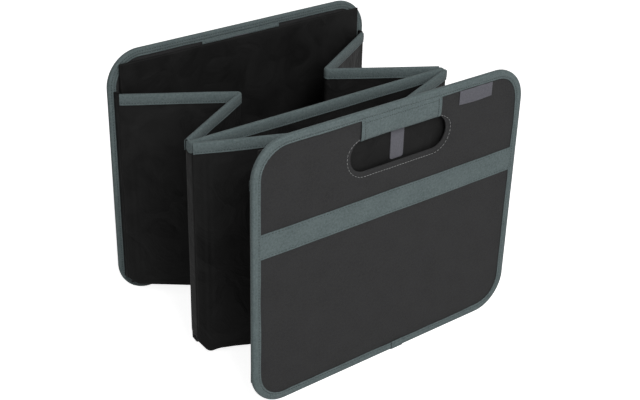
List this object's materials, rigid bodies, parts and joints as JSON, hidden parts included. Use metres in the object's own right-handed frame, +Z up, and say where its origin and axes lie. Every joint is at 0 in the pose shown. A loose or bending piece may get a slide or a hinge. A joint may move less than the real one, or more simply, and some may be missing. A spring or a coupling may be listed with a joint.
{
  "type": "folding storage box",
  "caption": "Fabric storage box for a car boot with stiff end panels, a divider and side walls that fold inwards, shown half folded.",
  "frame": {"origin": "centre of the half-folded box's outline on the floor it stands on", "axes": "+X to the right along the front panel, +Y from the front panel to the rear panel, +Z up"},
  "size_m": [0.325, 0.2518, 0.275],
  "materials": {
    "outer_cloth": "fine plain weave, matt, near black",
    "coated_cloth": "smooth coated black cloth with a soft sheen",
    "binding_tape": "woven grey-green tape, matt",
    "board": "plain stiffener sheet, hidden in the cloth",
    "label_tape": "bare woven label tape, grey"
  },
  "bodies": {
    "divider": {"divider_cover": "coated_cloth", "divider_board": "board", "divider_binding": "binding_tape", "divider_left_spine": "coated_cloth", "divider_right_spine": "coated_cloth", "divider_left_corner_tape": "binding_tape", "divider_right_corner_tape": "binding_tape", "rear_bottom_cloth": "coated_cloth", "front_bottom_cloth": "coated_cloth"},
    "rear_panel": {"rear_outer_cloth": "outer_cloth", "rear_inner_cloth": "outer_cloth", "rear_panel_board": "board", "rear_edge_binding": "binding_tape", "rear_handle_wrap": "binding_tape", "rear_left_corner": "coated_cloth", "rear_right_corner": "coated_cloth", "rear_base_cover": "coated_cloth", "rear_base_board": "board", "rear_pull_strap": "label_tape"},
    "rear_left_near": {"rear_left_near_cover": "coated_cloth", "rear_left_near_board": "board", "rear_left_near_binding": "binding_tape", "rear_left_fold": "coated_cloth"},
    "rear_left_far": {"rear_left_far_cover": "coated_cloth", "rear_left_far_board": "board", "rear_left_far_binding": "binding_tape"},
    "rear_right_near": {"rear_right_near_cover": "coated_cloth", "rear_right_near_board": "board", "rear_right_near_binding": "binding_tape", "rear_right_fold": "coated_cloth"},
    "rear_right_far": {"rear_right_far_cover": "coated_cloth", "rear_right_far_board": "board", "rear_right_far_binding": "binding_tape"},
    "front_panel": {"front_outer_cloth": "outer_cloth", "front_inner_cloth": "outer_cloth", "front_panel_board": "board", "front_edge_binding": "binding_tape", "front_handle_wrap": "binding_tape", "front_left_corner": "coated_cloth", "front_right_corner": "coated_cloth", "front_base_cover": "coated_cloth", "front_base_board": "board", "front_pull_strap": "label_tape", "front_band": "binding_tape", "front_label": "label_tape"},
    "front_left_near": {"front_left_near_cover": "coated_cloth", "front_left_near_board": "board", "front_left_near_binding": "binding_tape", "front_left_fold": "coated_cloth"},
    "front_left_far": {"front_left_far_cover": "coated_cloth", "front_left_far_board": "board", "front_left_far_binding": "binding_tape"},
    "front_right_near": {"front_right_near_cover": "coated_cloth", "front_right_near_board": "board", "front_right_near_binding": "binding_tape", "front_right_fold": "coated_cloth"},
    "front_right_far": {"front_right_far_cover": "coated_cloth", "front_right_far_board": "board", "front_right_far_binding": "binding_tape"}
  },
  "joints": [
    {"name": "rear_fold", "type": "hinge", "parent": "divider", "child": "rear_left_near", "pos_m": [-0.1562, -0.0135, 0.12], "axis": [0, 0, 1], "range_deg": [-31.09, 56.9], "deforming": ["rear_bottom_cloth"]},
    {"name": "rear_left_middle_fold", "type": "hinge", "parent": "rear_left_near", "child": "rear_left_far", "pos_m": [-0.05781, 0.05065, 0.12], "axis": [0, 0, 1], "range_deg": [-114.3, 62.68]},
    {"name": "rear_panel_fold", "type": "hinge", "parent": "rear_left_far", "child": "rear_panel", "pos_m": [-0.1562, 0.11478, 0.12], "axis": [0, 0, 1], "range_deg": [-31.59, 57.4]},
    {"name": "rear_right_fold", "type": "hinge", "parent": "divider", "child": "rear_right_near", "pos_m": [0.1562, -0.0135, 0.12], "axis": [0, 0, 1], "range_deg": [-57.4, 31.59]},
    {"name": "rear_right_middle_fold", "type": "hinge", "parent": "rear_right_near", "child": "rear_right_far", "pos_m": [0.05781, 0.05065, 0.12], "axis": [0, 0, 1], "range_deg": [-62.68, 114.3]},
    {"name": "front_fold", "type": "hinge", "parent": "divider", "child": "front_left_near", "pos_m": [-0.1562, -0.0215, 0.12], "axis": [0, 0, -1], "range_deg": [-21.39, 66.6], "deforming": ["front_bottom_cloth"]},
    {"name": "front_left_middle_fold", "type": "hinge", "parent": "front_left_near", "child": "front_left_far", "pos_m": [-0.04841, -0.06814, 0.12], "axis": [0, 0, -1], "range_deg": [-133.7, 43.28]},
    {"name": "front_panel_fold", "type": "hinge", "parent": "front_left_far", "child": "front_panel", "pos_m": [-0.1562, -0.11478, 0.12], "axis": [0, 0, -1], "range_deg": [-21.89, 67.1]},
    {"name": "front_right_fold", "type": "hinge", "parent": "divider", "child": "front_right_near", "pos_m": [0.1562, -0.0215, 0.12], "axis": [0, 0, -1], "range_deg": [-67.1, 21.89]},
    {"name": "front_right_middle_fold", "type": "hinge", "parent": "front_right_near", "child": "front_right_far", "pos_m": [0.04841, -0.06814, 0.12], "axis": [0, 0, -1], "range_deg": [-43.28, 133.7]}
  ],
  "couplings": [
    {"joint": "rear_left_middle_fold", "follows": "rear_fold", "ratio": -2},
    {"joint": "rear_panel_fold", "follows": "rear_fold", "ratio": 1},
    {"joint": "rear_right_fold", "follows": "rear_fold", "ratio": -1},
    {"joint": "rear_right_middle_fold", "follows": "rear_fold", "ratio": 2},
    {"joint": "front_left_middle_fold", "follows": "front_fold", "ratio": -2},
    {"joint": "front_panel_fold", "follows": "front_fold", "ratio": 1},
    {"joint": "front_right_fold", "follows": "front_fold", "ratio": -1},
    {"joint": "front_right_middle_fold", "follows": "front_fold", "ratio": 2}
  ]
}
